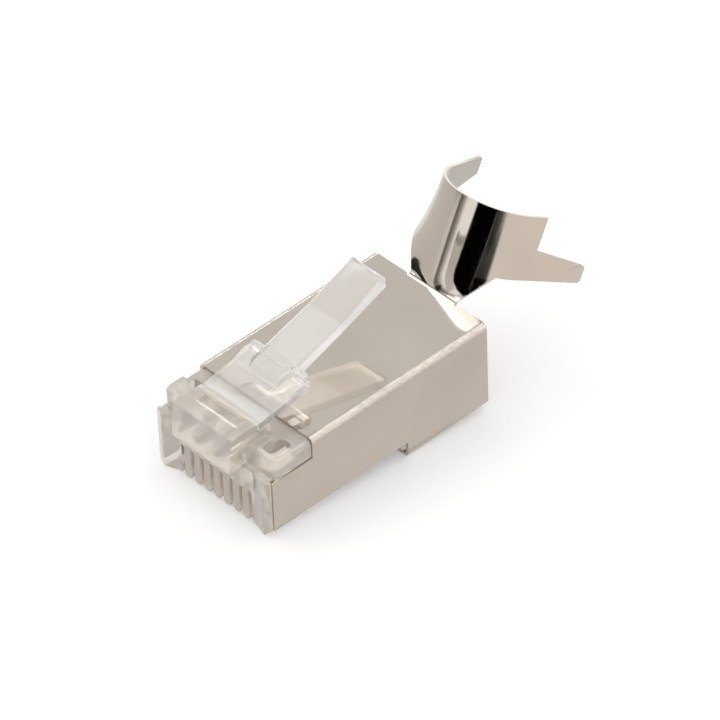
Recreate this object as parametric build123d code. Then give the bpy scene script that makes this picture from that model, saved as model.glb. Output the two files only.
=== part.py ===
from build123d import *
from math import atan2, cos, radians, sin, tan
import os

# Shielded eight-way modular plug with a crimp saddle, as sold, before a cable is fitted.
# Sizes are in millimetres. While the plug is built, X runs across it, Y from the nose to the
# cable end and Z up to the latch side. Y = 0 is the front of the contact comb, and Z = 0 is
# the lower edge of the shield's side walls. The finished parts are moved together at the end,
# so that the origin is below the middle of the whole plug, at its lowest level.

# Contacts and comb
ways = 8
pitch = 1.016
blade_thickness = 0.3
blade_side_gap = 0.015
blade_front = 0.55
blade_length = 3.8
blade_shoulder = 1.55
blade_nose_radius = 0.5
blade_end_gap = 0.03
tine_count = 3
tine_tip = 0.12
tine_clearance = 0.05
tip_recess = 0.12
comb_drop = 0.43
comb_length = 8.6
comb_top = 4.68
rib_round = 0.3
comb_chamfer = 0.6
flange_front = 0.36
flange_flat = 0.65
flange_round = 0.22
flange_gap = 0.1
rib_zone_width = 8.3
rib_zone_top = 2.85
brow_front = 0.16
slot_mouth_top = 2.4

# Conductor channels, in two staggered rows
channel_bore = 1.15
channel_front = 0.9
low_channel_height = 3.0
row_offset = 0.85

# Shield: one folded sheet
sheet = 0.25
shield_width = 11.74
shield_top = 6.24
shield_length = 21.35
fold_radius = 0.42
panel_front = 4.05
wall_front = 0.12
wall_low_top = 4.47
step_at = 13.26
step_drop = 1.45
seam_gap = 0.12
fit_gap = 0.03

# Nose of the housing
nose_setback = 0.35
nose_width = 11.5
nose_top = 6.35
nose_shelf_at = 2.15
nose_corner_round = 0.6
nose_edge_round = 0.35
pocket_inner = 4.0
pocket_outer = 5.1
pocket_front = 0.86
pocket_back = 2.9
pocket_depth = 1.45
pocket_round = 0.35

# Latch root on the nose
latch_width = 6.04
root_low = 4.5
root_chin = 1.35
root_brow = 1.02
root_top = 7.56
root_back = 2.75
root_shelf_gap = 0.19
root_edge_round = 0.22
groove_width = 4.2
groove_front = 0.32
groove_back = 1.3
groove_depth = 0.42

# Latch lever, which turns about its thin section
hinge_y = 1.83
hinge_z = 7.17
hinge_radius = 0.28
hinge_gap = 0.05
plate_back = 4.65
plate_top = 7.82
plate_low = 7.33
shoulder_at = 6.55
shoulder_low = 7.7
ramp_top = 8.35
ramp_end = 5.8
knob_inner = 1.4
knob_outer = 2.78
knob_front = 6.12
knob_back = 6.88
knob_top = 8.74
knob_round = 0.3
rib_front = 4.85
rib_rise = 5.25
rib_top = 8.65
tab_root_top = 8.92
tab_root_top_width = 3.0
tab_root_low_width = 3.46
tab_root_thickness = 1.1
tab_root_slope = 0.25
tab_middle = 11.0
tab_middle_top = 10.11
tab_middle_top_width = 3.2
tab_middle_low_width = 3.38
tab_middle_thickness = 0.88
tab_end = 15.65
tab_end_top = 11.95
tab_width = 3.3
tab_thickness = 1.05
tab_side_slope = 0.06
tab_tip_round = 0.4
tab_corner_round = 0.3

# Cable cavity of the housing
housing_setback = 0.25
cavity_wall = 0.84
cavity_front = 14.6
cavity_round = 1.2
funnel_front = 9.6
funnel_margin = 0.35
bar_front = 10.0
bar_back = 12.2
bar_width = 7.4
bar_recess = 0.3

# Crimp saddle, bent up from the shield's rear edge
saddle_angle = 62.8
saddle_radius = 4.4
saddle_arc = 76.0
saddle_low = 2.53
saddle_middle = 4.97
saddle_length = 7.65
neck_width = 4.76
neck_offset = 0.27
neck_bend_radius = 0.25
neck_relief = 0.3
neck_left = 2.9
neck_left_height = 1.0
neck_right = 3.65
left_wing_root = 4.6
flare_height = 6.2
flare_power = 0.29
flare_steps = 12
flare_arc = 7.3
least_curve = 0.04
saddle_fold = 21.3
wing_reach = 7.25
right_prong_reach = 12.1
left_prong_reach = 10.7
prong_end = 1.4
prong_slant = 0.06
prong_round = 0.3

# Values that follow from the sizes above
channel_radius = channel_bore / 2
blade_back = blade_front + blade_length
slot_width = blade_thickness + 2 * blade_side_gap
rib_width = pitch - slot_width
comb_span = (ways - 1) * pitch + slot_width
housing_width = shield_width - 2 * (sheet + fit_gap)
flange_width = shield_width - 2 * fit_gap
housing_top = shield_top - sheet - fit_gap
housing_back = shield_length - housing_setback
housing_floor = -step_drop + sheet + fit_gap
overshoot = 1.0


def way_x(way):
    """Place across the plug of one contact, counted from 0."""
    return (way - (ways - 1) / 2) * pitch


def channel_height(way):
    """The channels stand in two rows, so that thick conductors pass each other."""
    return low_channel_height + (way % 2) * row_offset


def side_face(points):
    """A face in the plug's middle plane from points given as (Y, Z)."""
    return make_face(Polyline([(0, y, z) for y, z in points], close=True))


def across(face, width):
    """Extrudes a side face equally to both sides of the middle plane."""
    return extrude(face, amount=width / 2, dir=(1, 0, 0), both=True)


def edges_at(shape, along, **places):
    """Edges that run along one axis and lie at the given x, y or z."""
    found = shape.edges().filter_by(along)
    for name, place in places.items():
        axis = {"x": Axis.X, "y": Axis.Y, "z": Axis.Z}[name]
        found = found.filter_by_position(axis, place - 0.001, place + 0.001)
    return found


def comb_corner_cut(side):
    """The slope along one lower outer corner of the comb; side is 1 or -1."""
    outer = flange_width / 2 + overshoot
    corners = [
        (side * (flange_width / 2 - comb_chamfer - overshoot), 0, -comb_drop - overshoot),
        (side * outer, 0, -comb_drop + comb_chamfer + overshoot),
        (side * outer, 0, -comb_drop - overshoot),
    ]
    wedge = make_face(Polyline(corners, close=True))
    return Pos(0, -overshoot, 0) * extrude(wedge, amount=comb_length + 2 * overshoot, dir=(0, 1, 0))


def long_body():
    """The comb and the long body that the shield covers."""
    outline = [
        (0, -comb_drop),
        (0, comb_top),
        (nose_shelf_at, comb_top),
        (nose_shelf_at, housing_top),
        (housing_back, housing_top),
        (housing_back, housing_floor),
        (step_at, housing_floor),
        (step_at, 0),
        (comb_length, 0),
        (comb_length, -comb_drop),
    ]
    body = across(side_face(outline), housing_width)
    half = housing_width / 2
    for side in (-half, half):
        body = fillet(edges_at(body, Axis.Y, x=side, z=housing_top), fold_radius)
        body = fillet(edges_at(body, Axis.Y, x=side, z=housing_floor), fold_radius)
    return body


def comb_front():
    """The comb's front: a brow over the ribs, and a flange each side before the shield's edges."""
    flange_back = wall_front - flange_gap
    half = flange_width / 2
    plan = [
        (-half, flange_back, -comb_drop),
        (-half, -flange_front, -comb_drop),
        (flange_flat - half, -flange_front, -comb_drop),
        (-rib_zone_width / 2, 0, -comb_drop),
        (rib_zone_width / 2, 0, -comb_drop),
        (half - flange_flat, -flange_front, -comb_drop),
        (half, -flange_front, -comb_drop),
        (half, flange_back, -comb_drop),
    ]
    front = extrude(make_face(Polyline(plan, close=True)), amount=comb_top + comb_drop, dir=(0, 0, 1))
    front = fillet(edges_at(front, Axis.Z, y=-flange_front), flange_round)
    brow = [
        (flange_back, rib_zone_top),
        (-brow_front, rib_zone_top),
        (-brow_front, comb_top),
        (flange_back, comb_top),
    ]
    return front + across(side_face(brow), rib_zone_width)


def nose_block():
    """The wide upper nose, which stands over the low front of the side walls."""
    low = wall_low_top + fit_gap
    back = panel_front - fit_gap
    outline = [
        (nose_setback, low),
        (nose_setback, nose_top),
        (nose_shelf_at, nose_top),
        (nose_shelf_at, housing_top),
        (back, housing_top),
        (back, low),
    ]
    block = across(side_face(outline), nose_width)
    block = fillet(edges_at(block, Axis.Z, y=nose_setback), nose_corner_round)
    block = fillet(edges_at(block, Axis.Y, z=nose_top), nose_edge_round)
    return fillet(edges_at(block, Axis.Y, z=housing_top), fold_radius)


def latch_root():
    """The block that juts out of the nose and carries the latch at its back."""
    shelf = hinge_z - hinge_radius - root_shelf_gap
    outline = [
        (0, root_low),
        (-root_chin, root_low),
        (-root_brow, root_top),
        (groove_front, root_top),
        (hinge_y, hinge_z + hinge_radius),
        (hinge_y, shelf),
        (root_back, shelf),
        (root_back, housing_top - pocket_depth),
        (nose_setback, root_low),
    ]
    root = across(side_face(outline), latch_width)
    root = fillet(edges_at(root, Axis.X, y=-root_brow, z=root_top), root_edge_round)
    root = fillet(edges_at(root, Axis.X, y=-root_chin, z=root_low), root_edge_round)
    socket_length = latch_width + 2 * overshoot
    socket = Pos(0, hinge_y, hinge_z) * Rot(0, 90, 0) * Cylinder(hinge_radius + hinge_gap, socket_length)
    groove_middle = (groove_front + groove_back) / 2
    groove = Pos(0, groove_middle, root_top) * Box(
        groove_width, groove_back - groove_front, 2 * groove_depth
    )
    return root - socket - groove


def nose_pockets():
    """Two cored-out pockets in the nose's top, one each side of the latch root."""
    size_x = pocket_outer - pocket_inner
    size_y = pocket_back - pocket_front
    base = RectangleRounded(size_x, size_y, pocket_round)
    pocket = extrude(base, amount=pocket_depth + overshoot)
    middle_x = (pocket_inner + pocket_outer) / 2
    middle_y = (pocket_front + pocket_back) / 2
    floor = nose_top - pocket_depth
    return [Pos(side * middle_x, middle_y, floor) * pocket for side in (-1, 1)]


def contact_slot(way):
    """The slot of one blade: open to the front and below, and up into its channel."""
    mouth = -comb_drop - overshoot
    front = blade_front - blade_end_gap
    back = blade_back + blade_end_gap
    outline = [
        (-overshoot, mouth),
        (-overshoot, slot_mouth_top),
        (front, slot_mouth_top),
        (front, channel_height(way)),
        (back, channel_height(way)),
        (back, mouth),
    ]
    return Pos(way_x(way), 0, 0) * across(side_face(outline), slot_width)


def channel(way):
    """The round channel of one conductor, blind at the nose."""
    length = funnel_front - channel_front + overshoot
    bore = Cylinder(channel_radius, length, align=(Align.CENTER, Align.CENTER, Align.MIN))
    return Pos(way_x(way), channel_front, channel_height(way)) * Rot(-90, 0, 0) * bore


def cable_cavity():
    """The cavity for the cable, and the funnel that leads the conductors to their channels."""
    width = housing_width - 2 * cavity_wall
    low = housing_floor + cavity_wall
    high = housing_top - cavity_wall
    entry = Plane((0, cavity_front, (low + high) / 2), x_dir=(1, 0, 0), z_dir=(0, 1, 0))
    mouth = entry * RectangleRounded(width, high - low, cavity_round)
    cavity = extrude(mouth, amount=housing_back - cavity_front + overshoot)
    narrow_width = (ways - 1) * pitch + channel_bore + 2 * funnel_margin
    narrow_low = low_channel_height - channel_radius - funnel_margin
    narrow_high = low_channel_height + row_offset + channel_radius + funnel_margin
    throat = Plane((0, funnel_front, (narrow_low + narrow_high) / 2), x_dir=(1, 0, 0), z_dir=(0, 1, 0))
    narrow = throat * RectangleRounded(narrow_width, narrow_high - narrow_low, channel_radius)
    return cavity + loft([narrow, mouth])


def strain_relief_recess():
    """The recess in the underside over the bar that is pressed onto the conductors."""
    outline = [
        (bar_front, -overshoot),
        (bar_front, bar_recess),
        (bar_back, bar_recess),
        (bar_back, -overshoot),
    ]
    return across(side_face(outline), bar_width)


def housing():
    """The clear moulding without its latch lever."""
    body = long_body() + comb_front() + nose_block() + latch_root()
    for side in (-1, 1):
        body -= comb_corner_cut(side)
    for pocket in nose_pockets():
        body -= pocket
    body -= cable_cavity()
    body -= strain_relief_recess()
    for way in range(ways):
        body -= channel(way)
    for way in range(ways):
        body -= contact_slot(way)
    rib_edges = edges_at(body, Axis.Y, z=-comb_drop).filter_by_position(
        Axis.X, -comb_span / 2 - 0.01, comb_span / 2 + 0.01
    )
    return fillet(rib_edges, min(rib_round, 0.46 * rib_width))


def contact(way):
    """One stamped blade, with a rounded nose below and piercing tines above."""
    low = -comb_drop + tip_recess
    tip = channel_height(way) - channel_radius - tine_clearance
    tine = blade_length / tine_count
    points = [(blade_front, low), (blade_front, blade_shoulder)]
    for count in range(tine_count):
        start = blade_front + count * tine
        points.append((start + tine * 0.5 - tine_tip / 2, tip))
        points.append((start + tine * 0.5 + tine_tip / 2, tip))
        points.append((start + tine, blade_shoulder))
    points.append((blade_back, low))
    blade = across(side_face(points), blade_thickness)
    blade = fillet(edges_at(blade, Axis.X, y=blade_front, z=low), blade_nose_radius)
    return Pos(way_x(way), 0, 0) * blade


def latch_plate():
    """The wide, thin part of the latch, which rises to its two shoulders at the back."""
    slope = atan2(plate_low - (hinge_z - hinge_radius), plate_back - hinge_y)
    tangent = (hinge_y + hinge_radius * sin(slope), hinge_z - hinge_radius * cos(slope))
    outline = [
        (hinge_y, hinge_z + hinge_radius),
        (plate_back, plate_top),
        (ramp_end, ramp_top),
        (shoulder_at, ramp_top),
        (shoulder_at, shoulder_low),
        (plate_back, plate_low),
        tangent,
        (hinge_y, hinge_z),
    ]
    plate = across(side_face(outline), latch_width)
    root = Pos(0, hinge_y, hinge_z) * Rot(0, 90, 0) * Cylinder(hinge_radius, latch_width)
    return plate + root


def shoulder_knob(side):
    """The rounded block on one shoulder, close beside the tab; side is 1 or -1."""
    low = (ramp_top + shoulder_low) / 2
    outline = [(knob_front, low), (knob_front, knob_top), (knob_back, knob_top), (knob_back, low)]
    knob = across(side_face(outline), knob_outer - knob_inner)
    knob = fillet(edges_at(knob, Axis.X, z=knob_top), knob_round)
    return Pos(side * (knob_inner + knob_outer) / 2, 0, 0) * knob


def tab_section(y, top, thickness, slope, top_width, low_width):
    """An upright section of the tab, with a slope along each upper edge."""
    corners = [
        (-low_width / 2, y, top - thickness),
        (low_width / 2, y, top - thickness),
        (low_width / 2, y, top - slope),
        (top_width / 2, y, top),
        (-top_width / 2, y, top),
        (-low_width / 2, y, top - slope),
    ]
    return make_face(Polyline(corners, close=True))


def tab_plan():
    """The tab seen from above, wide enough everywhere but with rounded corners at its tip."""
    start = shoulder_at - overshoot
    half = tab_root_low_width / 2 + overshoot
    corners = [(-half, start), (-tab_width / 2, tab_end), (tab_width / 2, tab_end), (half, start)]
    plan = make_face(Polyline(corners, close=True))
    plan = fillet(plan.vertices().sort_by(Axis.Y)[-2:], tab_corner_round)
    return extrude(plan, amount=tab_end_top + overshoot)


def latch_tab():
    """The narrow tab that the finger presses, and the rib that joins it to the plate."""
    root = tab_section(
        shoulder_at,
        tab_root_top,
        tab_root_thickness,
        tab_root_slope,
        tab_root_top_width,
        tab_root_low_width,
    )
    middle = tab_section(
        tab_middle,
        tab_middle_top,
        tab_middle_thickness,
        tab_side_slope,
        tab_middle_top_width,
        tab_middle_low_width,
    )
    end_top_width = tab_width - 2 * tab_side_slope
    end = tab_section(tab_end, tab_end_top, tab_thickness, tab_side_slope, end_top_width, tab_width)
    tab = loft([root, middle, end], ruled=True)
    tip = tab.edges().filter_by_position(Axis.Y, tab_end - 0.001, tab_end + 0.001)
    tab = fillet(tip.sort_by(Axis.Z)[-1:], tab_tip_round)
    tab = tab & tab_plan()
    inside_plate = (plate_low + plate_top) / 2
    rib_outline = [
        (rib_front, inside_plate),
        (rib_front, plate_top),
        (rib_rise, rib_top),
        (shoulder_at, tab_root_top),
        (shoulder_at, shoulder_low),
        (rib_rise, inside_plate),
    ]
    return tab + across(side_face(rib_outline), tab_root_top_width)


def latch_lever():
    """The whole lever: plate, shoulders and tab."""
    return latch_plate() + shoulder_knob(1) + shoulder_knob(-1) + latch_tab()


def shield_sleeve():
    """Top panel, side walls and rear box, folded from one sheet and open below at the front."""
    height = shield_top + step_drop
    middle = Plane(
        (0, wall_front, (shield_top - step_drop) / 2), x_dir=(1, 0, 0), z_dir=(0, 1, 0)
    )
    outer = middle * RectangleRounded(shield_width, height, fold_radius)
    inner = middle * RectangleRounded(shield_width - 2 * sheet, height - 2 * sheet, fold_radius - sheet)
    sleeve = extrude(outer - inner, amount=shield_length - wall_front)
    reach = shield_width + overshoot
    under_front = side_face(
        [
            (-overshoot, -2 * step_drop),
            (-overshoot, 0),
            (step_at, 0),
            (step_at, -2 * step_drop),
        ]
    )
    over_nose = side_face(
        [
            (-overshoot, wall_low_top),
            (-overshoot, shield_top + overshoot),
            (panel_front, shield_top + overshoot),
            (panel_front, wall_low_top),
        ]
    )
    sleeve = sleeve - across(under_front, reach) - across(over_nose, reach)
    seam = side_face(
        [
            (step_at - overshoot, -step_drop - overshoot),
            (step_at - overshoot, 0),
            (shield_length + overshoot, 0),
            (shield_length + overshoot, -step_drop - overshoot),
        ]
    )
    return sleeve - across(seam, seam_gap)


def saddle_depth(u):
    """How far back the saddle's outer face lies at a length u from its crown."""
    bend = min(u / saddle_radius, radians(saddle_arc))
    return saddle_radius * (1 - cos(bend)) + (u - bend * saddle_radius) * sin(bend)


def saddle_foot():
    """The level at which the upright sheet leaves its bend."""
    return neck_bend_radius * tan(radians(saddle_angle) / 2)


def saddle_radii(level):
    """Left and right radius at a level: flat at the foot, and the left side stays flared longer."""
    left_share = min((level - saddle_foot()) / (flare_height - saddle_foot()), 1)
    right_share = min((level - saddle_foot()) / (saddle_low - saddle_foot()), 1)
    left_curve = left_share ** flare_power
    right_curve = 1 - (1 - right_share) ** 3
    return [saddle_radius / max(curve, least_curve) for curve in (left_curve, right_curve)]


def section_side(level, radius, side):
    """Outer and inner edges of one side of the sheet: an arc from the crown, then a flank."""
    angle = min(radians(saddle_arc), flare_arc / radius)
    flank = (saddle_depth(right_prong_reach) - radius * (1 - cos(angle))) / max(sin(angle), sin(1))
    edges = []
    for r in (radius, radius - sheet):
        start, middle, end = [
            Vector(side * r * sin(bend), radius - r * cos(bend), level) for bend in (0, angle / 2, angle)
        ]
        tip = end + Vector(side * flank * cos(angle), flank * sin(angle), 0)
        edges.append([ThreePointArc(start, middle, end), Line(end, tip)])
    return edges


def saddle_section(level):
    """The upright sheet's section at one level, its crown on X = 0."""
    edges = []
    for side, radius in zip((-1, 1), saddle_radii(level)):
        outer, inner = section_side(level, radius, side)
        edges += [*outer, *inner, Line(outer[1] @ 1, inner[1] @ 1)]
    return make_face(edges)


def saddle_sheet():
    """Neck and wings in one bent sheet, flat at its foot and round above."""
    rise = flare_height - saddle_foot()
    levels = [saddle_foot() + rise * (step / flare_steps) ** 1.5 for step in range(flare_steps + 1)]
    sections = [saddle_section(level) for level in levels]
    upper = extrude(sections[-1], amount=saddle_length - flare_height, dir=(0, 0, 1))
    return loft(sections, ruled=True) + upper


def neck_outline():
    """Front outline of the neck, and room for the wings above it."""
    low = saddle_foot()
    reach = 4 * saddle_radius
    points = [
        (neck_offset - neck_width / 2, 0, low),
        (-neck_left, 0, neck_left_height),
        (-left_wing_root, 0, saddle_low),
        (-reach, 0, saddle_low),
        (-reach, 0, saddle_length),
        (reach, 0, saddle_length),
        (reach, 0, saddle_low),
        (neck_right, 0, saddle_low),
        (neck_offset + neck_width / 2, 0, low),
    ]
    return make_face(Polyline(points, close=True))


def wings():
    """The bent sheet, trimmed to the neck and the two pronged wings."""
    front = extrude(neck_outline(), amount=4 * saddle_radius, dir=(0, 1, 0), both=True)
    reach = 3 * saddle_radius
    low = saddle_low + prong_slant
    high = saddle_length - prong_slant
    right = wing_outline(right_prong_reach, low, low + prong_end)
    left = wing_outline(left_prong_reach, high - prong_end, high)
    right_side = extrude(right, amount=reach, dir=(1, 0, 0))
    left_side = extrude(left, amount=reach, dir=(-1, 0, 0))
    return saddle_sheet() & front & (right_side + left_side)


def wing_outline(reach, prong_low, prong_high):
    """Side outline of one wing, with its prong between the two levels at the tip."""
    wing = saddle_depth(wing_reach)
    prong = saddle_depth(reach)
    at_top = prong_high > saddle_middle
    points = [(-overshoot, 0), (-overshoot, saddle_length)]
    if at_top:
        points += [(prong, prong_high), (prong, prong_low), (wing, saddle_middle), (wing, saddle_low)]
    else:
        points += [(wing, saddle_length), (wing, saddle_middle), (prong, prong_high), (prong, prong_low)]
        points += [(wing, saddle_low)]
    points.append((wing, 0))
    face = side_face(points)
    tips = face.vertices().filter_by_position(Axis.Y, prong - 0.001, prong + 0.001)
    return fillet(tips, prong_round)


def saddle():
    """Neck, wings and prongs, tilted to their place on the shield."""
    return Pos(0, saddle_fold, shield_top) * Rot(saddle_angle - 90, 0, 0) * wings()


def neck_bend():
    """The bend between the top panel and the neck."""
    start = saddle_fold - saddle_foot()
    foot = Plane((neck_offset, start, shield_top - sheet / 2), x_dir=(1, 0, 0), z_dir=(0, 1, 0))
    section = foot * Rectangle(neck_width, sheet)
    hinge = Axis((0, start, shield_top + neck_bend_radius), (1, 0, 0))
    return revolve(section, hinge, saddle_angle)


def neck_relief_cut():
    """Frees the neck from the panel's rear edge, with a small notch at each side."""
    start = saddle_fold - saddle_foot()
    back = shield_length + overshoot
    gap = side_face(
        [
            (start, shield_top - 2 * sheet),
            (start, shield_top + overshoot),
            (back, shield_top + overshoot),
            (back, shield_top - 2 * sheet),
        ]
    )
    return Pos(neck_offset, 0, 0) * across(gap, neck_width + 2 * neck_relief)


def shield():
    """The whole folded sheet."""
    return shield_sleeve() - neck_relief_cut() + neck_bend() + saddle()


def plug():
    """All the parts by name, where the plug's own frame has them."""
    parts = {"housing": housing(), "latch_lever": latch_lever(), "shield": shield()}
    for way in range(ways):
        parts[f"contact_{way + 1}"] = contact(way)
    return parts


if __name__ == "__main__":
    os.makedirs("parts", exist_ok=True)
    parts = plug()
    bounds = Compound(children=[part.solids()[0] for part in parts.values()]).bounding_box()
    origin = Vector(0, (bounds.min.Y + bounds.max.Y) / 2, bounds.min.Z)
    for name, part in parts.items():
        solids = part.solids()
        shape = solids[0] if len(solids) == 1 else Compound(children=solids)
        export_step(Pos(-origin) * shape, f"parts/{name}.step")
    print("origin", origin)
    print("hinge", Vector(0, hinge_y, hinge_z) - origin)
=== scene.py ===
from math import cos, radians, sin

import bmesh
import bpy
from mathutils import Matrix, Vector


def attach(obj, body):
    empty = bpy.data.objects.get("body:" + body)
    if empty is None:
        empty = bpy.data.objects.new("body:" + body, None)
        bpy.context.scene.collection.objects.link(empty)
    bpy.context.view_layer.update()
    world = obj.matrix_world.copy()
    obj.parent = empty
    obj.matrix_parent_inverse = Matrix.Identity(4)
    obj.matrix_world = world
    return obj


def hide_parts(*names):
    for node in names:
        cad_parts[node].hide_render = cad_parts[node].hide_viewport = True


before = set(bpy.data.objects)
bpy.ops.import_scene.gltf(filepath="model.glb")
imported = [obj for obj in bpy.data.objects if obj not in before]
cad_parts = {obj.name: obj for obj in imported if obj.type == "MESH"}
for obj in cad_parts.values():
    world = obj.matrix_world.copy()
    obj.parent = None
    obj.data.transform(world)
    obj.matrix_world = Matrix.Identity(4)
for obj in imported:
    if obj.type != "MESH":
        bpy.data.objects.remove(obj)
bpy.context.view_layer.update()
mm = 0.001


# Nodes and patterns

def set_inputs(node, **values):
    """Sets input values, named by socket with _ for each space."""
    for name, value in values.items():
        node.inputs[name.replace("_", " ")].default_value = value


def add_node(tree, kind, **values):
    """A new node with the given input values."""
    node = tree.nodes.new(kind)
    set_inputs(node, **values)
    return node


def new_material(name):
    """A material, its node tree and its Principled shader."""
    material = bpy.data.materials.new(name)
    material.use_nodes = True
    tree = material.node_tree
    return material, tree, tree.nodes["Principled BSDF"]


def calculated(tree, operation, first, second=None):
    """One step of arithmetic on sockets or numbers."""
    step = tree.nodes.new("ShaderNodeMath")
    step.operation = operation
    for socket, value in zip(step.inputs, (first, second)):
        if isinstance(value, (int, float)):
            socket.default_value = value
        elif value is not None:
            tree.links.new(value, socket)
    return step.outputs["Value"]


def product(tree, first, second):
    """Two sockets or numbers multiplied."""
    return calculated(tree, "MULTIPLY", first, second)


def ranged(tree, value, start, end, low=0.0, high=1.0):
    """Maps a value's run from start to end onto low to high, and holds it there beyond them."""
    run = add_node(tree, "ShaderNodeMapRange", From_Min=start, From_Max=end, To_Min=low, To_Max=high)
    tree.links.new(value, run.inputs["Value"])
    return run.outputs["Result"]


def within(tree, value, low, high, soft):
    """1 where the value lies between low and high, with a soft edge, else 0."""
    rise = ranged(tree, value, low - soft, low + soft)
    fall = ranged(tree, value, high - soft, high + soft, 1.0, 0.0)
    return product(tree, rise, fall)


def coordinate(tree, axis):
    """One Object coordinate, in metres."""
    where = tree.nodes.new("ShaderNodeTexCoord")
    parts = tree.nodes.new("ShaderNodeSeparateXYZ")
    tree.links.new(where.outputs["Object"], parts.inputs["Vector"])
    return parts.outputs[axis]


def noise(tree, frequency, detail):
    """A noise with the given frequency along each axis, per metre."""
    where = tree.nodes.new("ShaderNodeTexCoord")
    mapping = add_node(tree, "ShaderNodeMapping", Scale=frequency)
    tree.links.new(where.outputs["Object"], mapping.inputs["Vector"])
    pattern = add_node(tree, "ShaderNodeTexNoise", Scale=1.0, Detail=detail)
    tree.links.new(mapping.outputs["Vector"], pattern.inputs["Vector"])
    return pattern.outputs["Fac"]


def spread(tree, pattern, low, high):
    """Maps a noise's usual range onto low to high."""
    return ranged(tree, pattern, 0.3, 0.7, low, high)


def mixed_colour(tree, factor, first, second):
    """A colour between two tones."""
    mix = tree.nodes.new("ShaderNodeMix")
    mix.data_type = "RGBA"
    set_inputs(mix, A=first, B=second)
    tree.links.new(factor, mix.inputs["Factor"])
    return mix.outputs["Result"]


def colour_between(tree, shader, factor, dark, light):
    """Lets the base colour wander between two tones."""
    tree.links.new(mixed_colour(tree, factor, dark, light), shader.inputs["Base Color"])


def bump(tree, shader, height, strength, distance, under=None):
    """Raises the surface by a height pattern, over another one where it is given."""
    node = add_node(tree, "ShaderNodeBump", Strength=strength, Distance=distance)
    tree.links.new(height, node.inputs["Height"])
    if under is not None:
        tree.links.new(under, node.inputs["Normal"])
    tree.links.new(node.outputs["Normal"], shader.inputs["Normal"])
    return node.outputs["Normal"]


# Finishes of the plug

def plated_sheet():
    """Bright nickel on rolled sheet: fine lines along the walls, and folds cracked by the bending."""
    material, tree, shader = new_material("plated_sheet")
    set_inputs(shader, Metallic=1.0)
    clouds = noise(tree, (160, 160, 160), 3.0)
    clouded = spread(tree, clouds, 0.0, 1.0)
    colour_between(tree, shader, clouded, (0.49, 0.44, 0.385, 1), (0.54, 0.485, 0.425, 1))
    tree.links.new(spread(tree, clouds, 0.06, 0.10), shader.inputs["Roughness"])

    outward = calculated(tree, "ABSOLUTE", coordinate(tree, "X"))
    height = coordinate(tree, "Z")
    on_wall = within(tree, outward, 5.50 * mm, 7.0 * mm, 0.08 * mm)
    at_fold = within(tree, height, 7.20 * mm, 7.90 * mm, 0.06 * mm)
    on_saddle = within(tree, height, 8.2 * mm, 20.0 * mm, 0.2 * mm)
    fainter_on_panel = 0.2
    fainter_on_saddle = 0.4

    rolling = noise(tree, (6300, 270, 6300), 3.0)
    crackle = noise(tree, (11000, 11000, 11000), 2.0)
    lines = product(tree, rolling, calculated(tree, "MAXIMUM", on_wall, fainter_on_panel))
    pits = product(tree, on_saddle, product(tree, crackle, fainter_on_saddle))
    cracks = product(tree, product(tree, on_wall, at_fold), crackle)
    skin = bump(tree, shader, calculated(tree, "ADD", lines, pits), strength=0.06, distance=0.02 * mm)
    bump(tree, shader, cracks, strength=0.55, distance=0.14 * mm, under=skin)
    return material


def clear_moulding():
    """Clear moulded plastic, slightly milky and warm, with faint flow ripples."""
    material, tree, shader = new_material("clear_moulding")
    set_inputs(shader, Transmission_Weight=0.67, IOR=1.29, Roughness=0.04)
    set_inputs(shader, Coat_Weight=0.5, Coat_Roughness=0.05)
    ripples = noise(tree, (350, 350, 350), 2.0)
    colour_between(tree, shader, ripples, (0.98, 0.915, 0.835, 1), (0.99, 0.945, 0.885, 1))
    bump(tree, shader, ripples, strength=0.15, distance=0.1 * mm)
    return material


def frosted_latch():
    """The same plastic, thin and paler: darker at the root, matt on the tab, grained at the finger end."""
    material, tree, shader = new_material("frosted_latch")
    set_inputs(shader, Transmission_Weight=0.85, IOR=1.28, Coat_Weight=0.4, Coat_Roughness=0.08)
    along = coordinate(tree, "Y")
    root = within(tree, along, -16.0 * mm, -11.6 * mm, 0.5 * mm)
    whole_tab = within(tree, along, -8.6 * mm, 1.0 * mm, 0.1 * mm)
    finger_end = within(tree, along, -4.2 * mm, 0.1 * mm, 0.1 * mm)
    root_share = 0.55

    clouds = ranged(tree, noise(tree, (500, 500, 500), 2.0), 0.0, 1.0, 0.8, 1.0)
    darker = calculated(tree, "ADD", finger_end, product(tree, root, root_share))
    paler = calculated(tree, "SUBTRACT", clouds, darker)
    colour_between(tree, shader, paler, (0.84, 0.82, 0.80, 1), (0.98, 0.975, 0.965, 1))
    tree.links.new(ranged(tree, whole_tab, 0.0, 1.0, 0.07, 0.30), shader.inputs["Roughness"])
    grain = product(tree, noise(tree, (6000, 6000, 6000), 3.0), finger_end)
    bump(tree, shader, grain, strength=0.15, distance=0.03 * mm)
    return material


def gold_plating():
    """Bright gold on the stamped contacts, with a fine grain along them."""
    material, tree, shader = new_material("gold_plating")
    set_inputs(shader, Metallic=1.0)
    grain = noise(tree, (2500, 600, 2500), 3.0)
    colour_between(tree, shader, grain, (0.80, 0.54, 0.25, 1), (0.90, 0.66, 0.36, 1))
    tree.links.new(spread(tree, grain, 0.18, 0.28), shader.inputs["Roughness"])
    return material


# Pieces that stand for the CAD nodes

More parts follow.
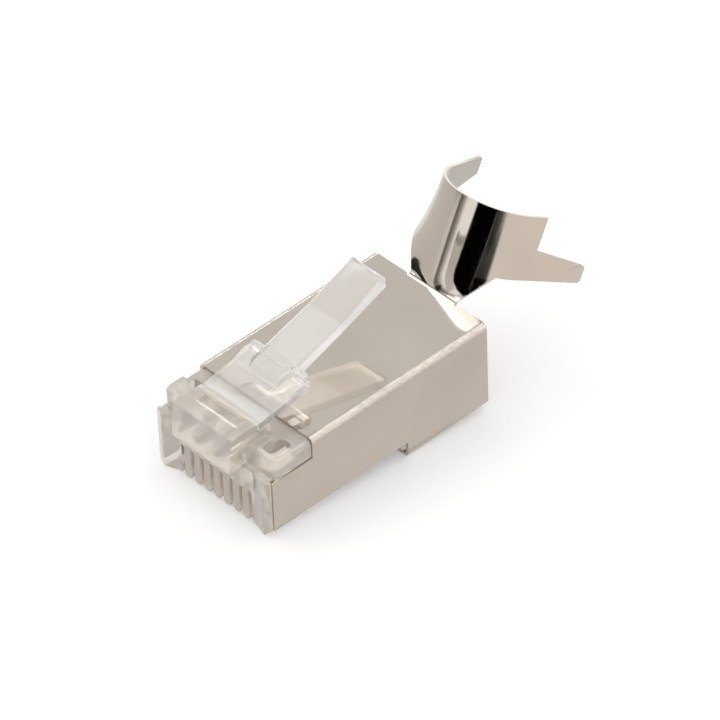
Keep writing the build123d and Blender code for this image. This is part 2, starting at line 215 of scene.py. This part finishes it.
def dressed_copy(node_name, body, material, edge_round, sharp_degrees):
    """A smooth copy of a CAD node whose sharp edges are slightly rounded."""
    same_point = 0.002 * mm
    same_plane = radians(1.0)
    sharp = radians(sharp_degrees)
    mesh = bpy.data.meshes.new(node_name + "_dressed")
    shape = bmesh.new()
    shape.from_mesh(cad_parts[node_name].data)
    bmesh.ops.remove_doubles(shape, verts=shape.verts, dist=same_point)
    bmesh.ops.dissolve_limit(shape, angle_limit=same_plane, verts=shape.verts, edges=shape.edges)
    for edge in shape.edges:
        edge.smooth = len(edge.link_faces) == 2 and edge.calc_face_angle(0) < sharp
    for face in shape.faces:
        face.smooth = True
    shape.to_mesh(mesh)
    shape.free()
    mesh.materials.append(material)
    piece = bpy.data.objects.new(node_name + "_dressed", mesh)
    bpy.context.scene.collection.objects.link(piece)
    rounding = piece.modifiers.new("edge_round", "BEVEL")
    rounding.width = edge_round
    rounding.segments = 2
    rounding.limit_method = "ANGLE"
    rounding.angle_limit = sharp
    rounding.harden_normals = True
    rounding.use_clamp_overlap = True
    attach(piece, body)
    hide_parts(node_name)
    return piece


housing = dressed_copy("housing", "plug", clear_moulding(), edge_round=0.04 * mm, sharp_degrees=28)
latch = dressed_copy("latch_lever", "latch", frosted_latch(), edge_round=0.05 * mm, sharp_degrees=28)
shield = dressed_copy("shield", "plug", plated_sheet(), edge_round=0.05 * mm, sharp_degrees=32)
gold_finish = gold_plating()
for way in range(1, 9):
    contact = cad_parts[f"contact_{way}"]
    contact.data.materials.clear()
    contact.data.materials.append(gold_finish)


# Stage materials

def glowing(name, colour, strength):
    """A plain light-giving material."""
    material = bpy.data.materials.new(name)
    material.use_nodes = True
    tree = material.node_tree
    tree.nodes.clear()
    glow = add_node(tree, "ShaderNodeEmission", Color=(*colour, 1), Strength=strength)
    out = tree.nodes.new("ShaderNodeOutputMaterial")
    tree.links.new(glow.outputs["Emission"], out.inputs["Surface"])
    return material


def graded_across(name, left, left_colour, right, right_colour):
    """A light-giving material whose colour changes from left to right."""
    material = glowing(name, left_colour, 1.0)
    tree = material.node_tree
    factor = ranged(tree, coordinate(tree, "X"), left, right)
    mixed = mixed_colour(tree, factor, (*left_colour, 1), (*right_colour, 1))
    tree.links.new(mixed, tree.nodes["Emission"].inputs["Color"])
    return material


def white_ground():
    """White paper, partly glowing where the camera, metal or glass sees it, and clear from below."""
    material, tree, shader = new_material("white_ground")
    set_inputs(shader, Base_Color=(0.8, 0.8, 0.8, 1), Roughness=0.9, Specular_IOR_Level=0.0)
    share_of_glow = 0.22
    path = tree.nodes.new("ShaderNodeLightPath")
    shiny = calculated(tree, "MAXIMUM", path.outputs["Is Camera Ray"], path.outputs["Is Glossy Ray"])
    seen = calculated(tree, "MAXIMUM", shiny, path.outputs["Is Transmission Ray"])
    glow = add_node(tree, "ShaderNodeEmission", Color=(1, 1, 1, 1))
    tree.links.new(product(tree, seen, share_of_glow), glow.inputs["Strength"])
    paper = tree.nodes.new("ShaderNodeAddShader")
    tree.links.new(shader.outputs["BSDF"], paper.inputs[0])
    tree.links.new(glow.outputs["Emission"], paper.inputs[1])
    side = tree.nodes.new("ShaderNodeNewGeometry")
    clear = tree.nodes.new("ShaderNodeBsdfTransparent")
    sided = tree.nodes.new("ShaderNodeMixShader")
    tree.links.new(side.outputs["Backfacing"], sided.inputs["Fac"])
    tree.links.new(paper.outputs["Shader"], sided.inputs[1])
    tree.links.new(clear.outputs["BSDF"], sided.inputs[2])
    out = tree.nodes["Material Output"]
    tree.links.new(sided.outputs["Shader"], out.inputs["Surface"])
    return material


# Ground and cards, the cards seen only in reflections unless said otherwise

def flat_card(name, corners, material, only_reflected=True):
    """A flat stage card through the given corners."""
    mesh = bpy.data.meshes.new(name)
    shape = bmesh.new()
    shape.faces.new([shape.verts.new(corner) for corner in corners])
    shape.to_mesh(mesh)
    shape.free()
    mesh.materials.append(material)
    card = bpy.data.objects.new(name, mesh)
    bpy.context.scene.collection.objects.link(card)
    if only_reflected:
        card.visible_camera = False
        card.visible_diffuse = False
        card.visible_shadow = False
        card.visible_transmission = False
    return card


def light_card(name, colour, strength, *corners):
    """A flat card that gives light of one colour."""
    return flat_card(name, corners, glowing(name, colour, strength))


# The plug lies tipped onto its nose: on the comb's front and on the step of the rear box
comb_foot = Vector((0, -15.61, 1.02)) * mm
step_foot = Vector((0, -1.99, 0.0)) * mm
ground_slope = (comb_foot.z - step_foot.z) / (step_foot.y - comb_foot.y)


def on_ground(x, y, lift=0.0):
    """A point above the sloping ground."""
    return (x, y, (step_foot.y - y) * ground_slope + lift)


def ground_mat(name, colour, strength, left, right, near, far):
    """A card that lies just above the ground."""
    lift = 0.37 * mm
    sides = ((left, near), (right, near), (right, far), (left, far))
    return light_card(name, colour, strength, *(on_ground(x, y, lift) for x, y in sides))


half_ground = 3.0
near_edge = step_foot.y - half_ground
far_edge = step_foot.y + half_ground
ground_corners = [
    on_ground(-half_ground, near_edge),
    on_ground(half_ground, near_edge),
    on_ground(half_ground, far_edge),
    on_ground(-half_ground, far_edge),
]
flat_card("ground", ground_corners, white_ground(), only_reflected=False)

# Dark cards: a leaning curtain on the camera's side, whose image is the saddle's black band, and two gaps
# beside the plug. Each run of the curtain has a direction in degrees and the height of its foot in mm,
# first at its start and then at its end.
dark_card = glowing("dark_card", (0.0, 0.0, 0.0), 0.0)
curtain_runs = ((2, 4, 17, 4), (17, 4, 33, 3), (33, 3, 41, 1), (41, 13.4, 62, 2.2))
curtain_distance = 0.12
curtain_height = 0.25
curtain_lean = 0.68
curtain_shift = 0.006


def curtain_edge(direction, foot_height):
    """The foot and the top of the curtain in one direction."""
    foot_x = 2.5 * mm + curtain_distance * sin(radians(direction))
    foot_y = 9.5 * mm - curtain_distance * cos(radians(direction))
    top = (curtain_lean * foot_x - curtain_shift, curtain_lean * foot_y - curtain_shift, curtain_height)
    return (foot_x, foot_y, foot_height * mm), top


for piece, (start, start_height, stop, stop_height) in enumerate(curtain_runs):
    start_foot, start_top = curtain_edge(start, start_height)
    stop_foot, stop_top = curtain_edge(stop, stop_height)
    flat_card(f"camera_side_gap_{piece}", [start_foot, stop_foot, stop_top, start_top], dark_card)
flat_card(
    "left_gap",
    [(-0.20, 0.03, -0.01), (-0.20, 0.30, -0.03), (-0.20, 0.30, 0.05), (-0.20, 0.03, 0.05)],
    dark_card,
)
flat_card(
    "right_gap",
    [(0.20, 0.07, 0.105), (0.20, 0.25, 0.105), (0.20, 0.25, 0.25), (0.20, 0.07, 0.25)],
    dark_card,
)

# Seen in the saddle's left half: a dusky gap, and a light that fades to the left
light_card(
    "left_front_gap",
    (1.0, 0.95, 0.85),
    0.04,
    (-0.1220, -0.0370, 0.000),
    (-0.1126, -0.0575, 0.005),
    (-0.0996, -0.0761, 0.0125),
    (-0.0836, -0.0921, 0.019),
    (-0.0650, -0.1051, 0.026),
    (-0.0508, -0.1122, 0.034),
    (-0.0508, -0.1122, 0.040),
    (-0.0746, -0.0990, 0.052),
    (-0.1126, -0.0575, 0.060),
    (-0.1220, -0.0370, 0.060),
)
front_light = flat_card(
    "front_light",
    [(-0.080, -0.122, 0.016), (0.004, -0.146, 0.016), (0.004, -0.120, 0.20), (-0.063, -0.102, 0.20)],
    graded_across("front_card", -0.068, (0.25, 0.24, 0.22), -0.044, (1.40, 1.42, 1.45)),
)
front_light.visible_transmission = True

# Lights round the plug, for its folds, the bend of the neck, the panel and the saddle's rim
fold_light = light_card(
    "fold_light",
    (0.97, 0.99, 1.0),
    5.0,
    (-0.09, 0.10, 0.26),
    (0.155, 0.10, 0.229),
    (0.155, 0.23, 0.229),
    (-0.09, 0.23, 0.26),
)
fold_light.visible_transmission = True
light_card(
    "right_light",
    (0.97, 0.99, 1.0),
    4.0,
    (0.20, 0.05, 0.0),
    (0.20, 0.22, -0.01),
    (0.20, 0.22, 0.10),
    (0.20, 0.05, 0.10),
)
light_card(
    "top_light",
    (0.86, 0.93, 1.0),
    4.4,
    (-0.235, 0.115, 0.30),
    (-0.205, 0.165, 0.30),
    (-0.085, 0.03, 0.30),
    (-0.125, -0.04, 0.30),
)
light_card(
    "bend_light",
    (0.93, 0.97, 1.0),
    2.1,
    (-0.20, -0.14, 0.20),
    (-0.09, -0.16, 0.13),
    (-0.09, -0.08, 0.24),
    (-0.20, -0.06, 0.24),
)
light_card(
    "overhead_light",
    (0.84, 0.93, 1.0),
    4.0,
    (-0.14, -0.08, 0.31),
    (-0.02, -0.08, 0.31),
    (-0.02, 0.03, 0.31),
    (-0.14, 0.03, 0.31),
)
light_card(
    "rim_light",
    (1.0, 0.98, 0.96),
    1.55,
    (-0.23, 0.205, -0.02),
    (-0.103, 0.294, -0.02),
    (-0.103, 0.294, 0.06),
    (-0.23, 0.205, 0.06),
)

# Mats that tint the ground's image in the wall and in the saddle
ground_mat("wall_glint", (1.0, 0.97, 0.95), 0.95, left=0.0062, right=0.0145, near=-0.03, far=0.02)
ground_mat("wing_glint", (1.0, 0.955, 0.91), 1.13, left=0.018, right=0.12, near=-0.04, far=0.04)
ground_mat("left_wing_ground", (1.0, 0.98, 0.96), 0.90, left=-0.30, right=-0.03, near=-0.30, far=0.03)
ground_mat("behind_ground", (0.98, 1.0, 1.0), 0.87, left=-0.025, right=0.012, near=0.018, far=0.06)

# A bright sky for the clear plastics alone
canopy = light_card(
    "canopy",
    (1.0, 0.99, 0.97),
    2.3,
    (-0.35, -0.35, 0.45),
    (0.35, -0.35, 0.45),
    (0.35, 0.35, 0.45),
    (-0.35, 0.35, 0.45),
)
canopy.visible_glossy = False
canopy.visible_transmission = True


# Lamps and world

def soft_lamp(name, place, size, power):
    """A square soft lamp aimed at the plug."""
    data = bpy.data.lights.new(name, "AREA")
    data.shape = "SQUARE"
    data.size = size
    data.energy = power
    lamp = bpy.data.objects.new(name, data)
    bpy.context.scene.collection.objects.link(lamp)
    lamp.location = place
    lamp.rotation_euler = (-Vector(place)).to_track_quat("-Z", "Y").to_euler()


soft_lamp("key", (-0.25, -0.10, 0.45), size=0.25, power=0.25)
soft_lamp("fill", (0.35, -0.30, 0.30), size=0.30, power=0.10)
world = bpy.data.worlds.new("studio")
bpy.context.scene.world = world
world.use_nodes = True
set_inputs(world.node_tree.nodes["Background"], Color=(1, 1, 1, 1), Strength=1.0)


# Camera at the photograph's view, as solved from the plug's straight edges

azimuth = radians(47.98)
elevation = radians(41.33)
roll = radians(-2.41)
aim = Vector((0, -5.2527, 4.45)) * mm
offset_right = 3.031 * mm
offset_up = 2.513 * mm
distance = 411.08 * mm

back = Vector((sin(azimuth) * cos(elevation), -cos(azimuth) * cos(elevation), sin(elevation)))
level_right = Vector((cos(azimuth), sin(azimuth), 0))
level_up = back.cross(level_right)
right = cos(roll) * level_right + sin(roll) * level_up
up = -sin(roll) * level_right + cos(roll) * level_up
place = aim + offset_right * right + offset_up * up + distance * back
lens_data = bpy.data.cameras.new("camera")
lens_data.sensor_width = 36.0
lens_data.lens = 285.66
lens_data.clip_start = 0.01
lens_data.clip_end = 20.0
camera = bpy.data.objects.new("camera", lens_data)
bpy.context.scene.collection.objects.link(camera)
camera.matrix_world = Matrix.Translation(place) @ Matrix((right, up, back)).transposed().to_4x4()
bpy.context.scene.camera = camera
bpy.context.scene.view_settings.view_transform = "Standard"
